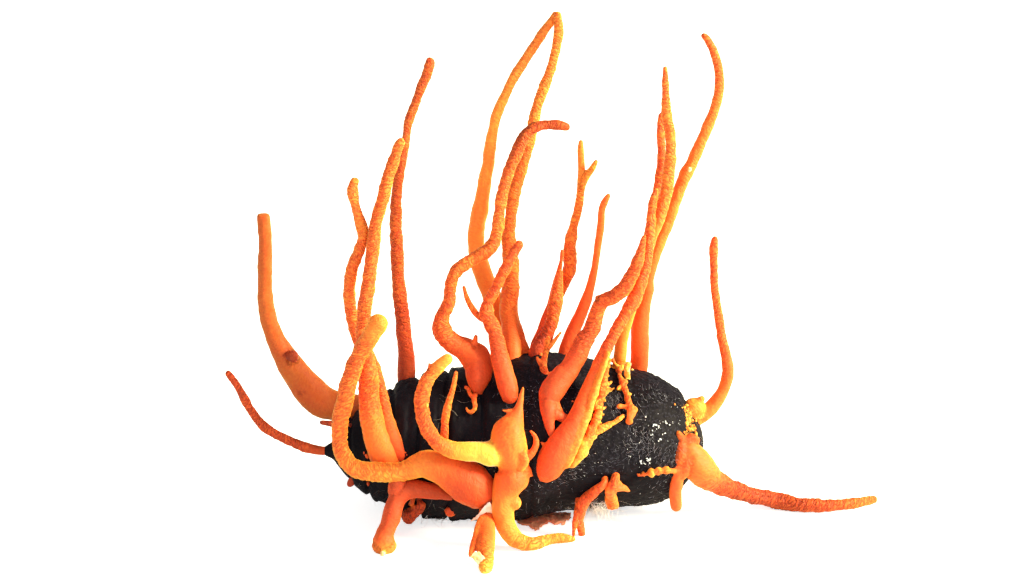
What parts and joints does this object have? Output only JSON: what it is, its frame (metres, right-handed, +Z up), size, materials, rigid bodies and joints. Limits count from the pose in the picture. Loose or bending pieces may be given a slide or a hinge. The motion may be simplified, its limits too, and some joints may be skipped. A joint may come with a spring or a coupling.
{
  "type": "cordyceps fruiting on a silkworm pupa",
  "caption": "Orange club-shaped fungus stalks of uneven height growing out of a black silkworm pupa, with curling front stalks and a long stalk lying to the right",
  "frame": {"origin": "a point on the flat that the pupa's belly rests on, under its thickest ring", "axes": "+X along the pupa to its round head end and the long right stalk, +Y away from the viewer to the back, +Z up"},
  "size_m": [0.0523, 0.0195, 0.0408],
  "materials": {
    "orange_flesh": "matte with fine bumps",
    "pupa_skin": "wrinkled, half matte",
    "brown_film": "rough",
    "pale_scrap": "matte"
  },
  "bodies": {
    "root": {"pupa": "pupa_skin", "loop_left": "orange_flesh", "hub_front": "orange_flesh", "stalk_diagonal": "orange_flesh", "stalk_long_right": "orange_flesh", "hook_front": "orange_flesh", "curl_front": "orange_flesh", "foot_left": "orange_flesh", "foot_centre": "orange_flesh", "stalk_left_front": "orange_flesh", "stalk_left_back": "orange_flesh", "stalk_elbow": "orange_flesh", "stalk_swan_neck": "orange_flesh", "stalk_centre_front": "orange_flesh", "stalk_centre_right": "orange_flesh", "stalk_centre_left": "orange_flesh", "stalk_left_tall": "orange_flesh", "stalk_far_left": "orange_flesh", "stalk_left_thin": "orange_flesh", "stub_left": "orange_flesh", "twig_centre": "orange_flesh", "stub_top": "orange_flesh", "stalk_slender": "orange_flesh", "stalk_forked": "orange_flesh", "stalk_curved": "orange_flesh", "stalk_dagger": "orange_flesh", "stalk_sickle": "orange_flesh", "stalk_behind": "orange_flesh", "stalk_whip": "orange_flesh", "finger_right": "orange_flesh", "toe_right": "orange_flesh", "toe_stub": "orange_flesh", "twig_front": "orange_flesh", "twig_hooked": "orange_flesh", "twig_top": "orange_flesh", "fringe_diagonal": "orange_flesh", "strand_low": "orange_flesh", "strand_nubby": "orange_flesh", "nub_left": "orange_flesh", "lump_left": "brown_film", "film_under": "brown_film", "flake": "pale_scrap"}
  },
  "joints": []
}
